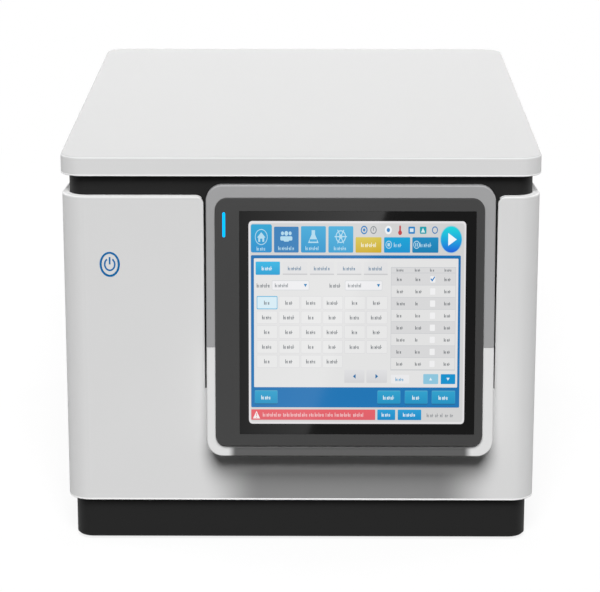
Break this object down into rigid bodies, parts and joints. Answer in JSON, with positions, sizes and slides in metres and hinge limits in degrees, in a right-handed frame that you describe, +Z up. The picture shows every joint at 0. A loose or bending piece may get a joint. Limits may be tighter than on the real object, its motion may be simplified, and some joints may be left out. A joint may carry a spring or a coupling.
{
  "type": "benchtop chemistry analyzer",
  "caption": "Benchtop chemistry analyzer: white case with a dark band and plinth, a hinged flat lid over sample and reaction discs with a probe and a mixer, and a tilted touch screen pod.",
  "frame": {"origin": "on the bench surface, below the middle of the whole instrument's box", "axes": "+Z up, the screen faces -Y, +X to the right seen from the screen side"},
  "size_m": [0.536, 0.7384, 0.4538],
  "materials": {
    "cover_white": "satin moulded plastic",
    "surround_grey": "satin moulded plastic",
    "case_black": "fine textured dark plastic",
    "frame_steel": "dark powder-coated sheet steel",
    "panel_white": "powder-coated sheet steel",
    "foot_rubber": "soft matt rubber",
    "screw_steel": "zinc-plated steel",
    "hinge_steel": "plain steel",
    "bezel_black": "semi-gloss dark plastic",
    "screen_glass": "clear cover glass with a dark border",
    "display_dark": "liquid crystal panel",
    "plate_steel": "bare sheet steel",
    "light_blue": "translucent light guide",
    "button_white": "semi-gloss moulded plastic",
    "part_black": "dark engineering plastic",
    "deck_grey": "matt thermoformed plastic",
    "tub_metal": "turned aluminium",
    "disc_metal": "dark anodised aluminium",
    "disc_plastic": "moulded carrier plastic",
    "cuvette_clear": "clear optical plastic",
    "bottle_white": "blow-moulded polyethylene",
    "cap_blue": "ribbed screw-cap plastic",
    "tube_glass": "glass sample tube",
    "stopper_rubber": "soft stopper rubber",
    "motor_steel": "stepper motor can",
    "shaft_chrome": "ground steel shaft",
    "arm_white": "moulded arm cover",
    "guide_metal": "turned aluminium",
    "board_green": "circuit board laminate",
    "supply_grey": "unit housing"
  },
  "bodies": {
    "base": {"base_plinth": "case_black", "rubber_feet": "foot_rubber", "chassis_frame": "frame_steel", "chassis_collar": "case_black", "front_cover": "cover_white", "side_panel_left": "panel_white", "side_panel_right": "panel_white", "rear_panel": "panel_white", "panel_screws": "screw_steel", "pod_surround": "surround_grey", "pod_bezel": "bezel_black", "status_light": "light_blue", "cover_glass": "screen_glass", "display_panel": "display_dark", "pod_backplate": "plate_steel", "power_light_ring": "light_blue", "power_switch": "part_black", "hinge_base_leaves": "hinge_steel", "hinge_pins": "hinge_steel", "work_deck": "deck_grey", "reaction_tub": "tub_metal", "reaction_motor": "motor_steel", "sample_tub": "tub_metal", "sample_motor": "motor_steel", "probe_guide": "guide_metal", "probe_drive": "part_black", "probe_wash_well": "disc_plastic", "mixer_guide": "guide_metal", "mixer_drive": "part_black", "mixer_wash_well": "disc_plastic", "photometer": "part_black", "fan_frame": "part_black", "fan_guard": "screw_steel", "mains_inlet": "part_black", "inlet_pins": "screw_steel", "fluid_ports": "disc_plastic", "data_ports": "plate_steel", "power_supply": "supply_grey", "control_board": "board_green", "fluid_pump": "supply_grey"},
    "lid": {"lid_shell": "cover_white", "lid_liner": "deck_grey", "lid_bumpers": "foot_rubber", "hinge_lid_leaves": "hinge_steel"},
    "power_button": {"power_button": "button_white"},
    "probe_column": {"probe_shaft": "shaft_chrome"},
    "probe_swing_arm": {"probe_arm": "arm_white", "probe_needle": "shaft_chrome"},
    "mixer_column": {"mixer_shaft": "shaft_chrome"},
    "mixer_swing_arm": {"mixer_arm": "arm_white"},
    "mixer_paddle": {"mixer_paddle": "shaft_chrome"},
    "reaction_rotor": {"reaction_disc": "disc_metal", "cuvette_ring": "cuvette_clear"},
    "sample_rotor": {"sample_disc": "disc_plastic", "reagent_bottles": "bottle_white", "bottle_caps": "cap_blue", "sample_tubes": "tube_glass", "tube_stoppers": "stopper_rubber"},
    "fan_rotor": {"fan_rotor": "part_black"},
    "rocker_switch": {"rocker_switch": "part_black"}
  },
  "joints": [
    {"name": "lid_hinge", "type": "hinge", "parent": "base", "child": "lid", "pos_m": [0, 0.3512, 0.424], "axis": [-1, 0, 0], "range_deg": [0, 75]},
    {"name": "power_button_press", "type": "slide", "parent": "base", "child": "power_button", "axis": [0, 1, 0], "range_m": [0, 0.0025], "stiffness_N_per_m": 300},
    {"name": "probe_lift", "type": "slide", "parent": "base", "child": "probe_column", "axis": [0, 0, 1], "range_m": [-0.03, 0]},
    {"name": "probe_turn", "type": "hinge", "parent": "probe_column", "child": "probe_swing_arm", "pos_m": [-0.0125, 0.2142, 0.402], "axis": [0, 0, 1], "range_deg": [-12.8, 34.4]},
    {"name": "mixer_lift", "type": "slide", "parent": "base", "child": "mixer_column", "axis": [0, 0, 1], "range_m": [-0.03, 0]},
    {"name": "mixer_turn", "type": "hinge", "parent": "mixer_column", "child": "mixer_swing_arm", "pos_m": [-0.2, 0.2092, 0.402], "axis": [0, 0, 1], "range_deg": [-32.69, 0]},
    {"name": "mixer_paddle_spin", "type": "hinge", "parent": "mixer_swing_arm", "child": "mixer_paddle", "pos_m": [-0.10895, 0.2092, 0.402], "axis": [0, 0, 1], "continuous": true},
    {"name": "reaction_disc_spin", "type": "hinge", "parent": "base", "child": "reaction_rotor", "pos_m": [-0.138, 0.0692, 0.338], "axis": [0, 0, 1], "continuous": true},
    {"name": "sample_disc_spin", "type": "hinge", "parent": "base", "child": "sample_rotor", "pos_m": [0.126, 0.0642, 0.338], "axis": [0, 0, 1], "continuous": true},
    {"name": "fan_spin", "type": "hinge", "parent": "base", "child": "fan_rotor", "pos_m": [-0.14, 0.33, 0.19], "axis": [0, 1, 0], "continuous": true},
    {"name": "rocker_tilt", "type": "hinge", "parent": "base", "child": "rocker_switch", "pos_m": [0.15, 0.3417, 0.118], "axis": [0, 0, 1], "range_deg": [0, 16]}
  ]
}
